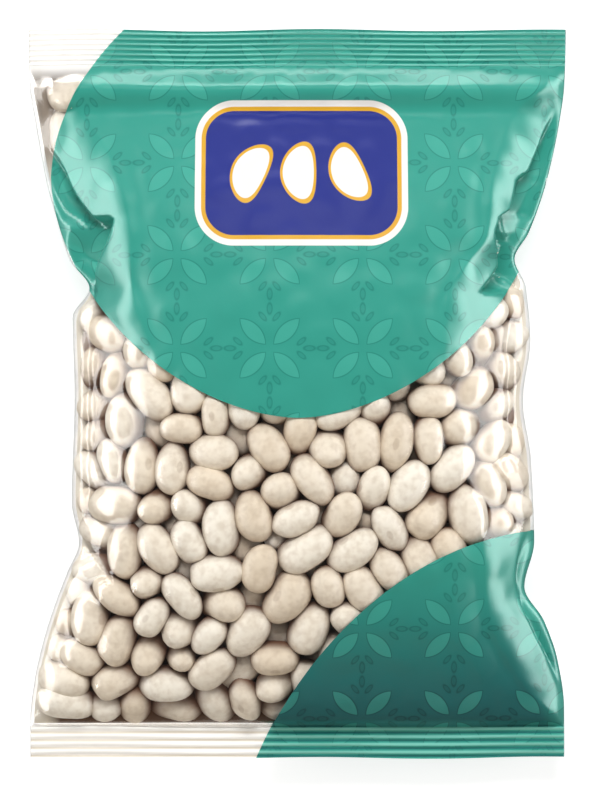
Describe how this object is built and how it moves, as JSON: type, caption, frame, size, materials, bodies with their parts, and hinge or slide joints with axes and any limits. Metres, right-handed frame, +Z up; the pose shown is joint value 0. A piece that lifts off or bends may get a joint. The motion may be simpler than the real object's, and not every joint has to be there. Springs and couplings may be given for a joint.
{
  "type": "sealed pack of dried white beans",
  "caption": "Pillow pack of dried white beans: a film tube crimped shut at both ends, part printed teal and part clear, lying on its back.",
  "frame": {"origin": "under the middle of the pack, on the face it rests on", "axes": "+Z up out of the front panel, +Y towards the top seal, +X to the right as the front is read"},
  "size_m": [0.165, 0.2248, 0.0472],
  "materials": {
    "printed_film": "glossy teal print on plastic film",
    "clear_film": "clear glossy plastic film",
    "beans": "smooth dry seed coat, cream"
  },
  "bodies": {
    "root": {"bean_pack": "printed_film"}
  },
  "joints": []
}
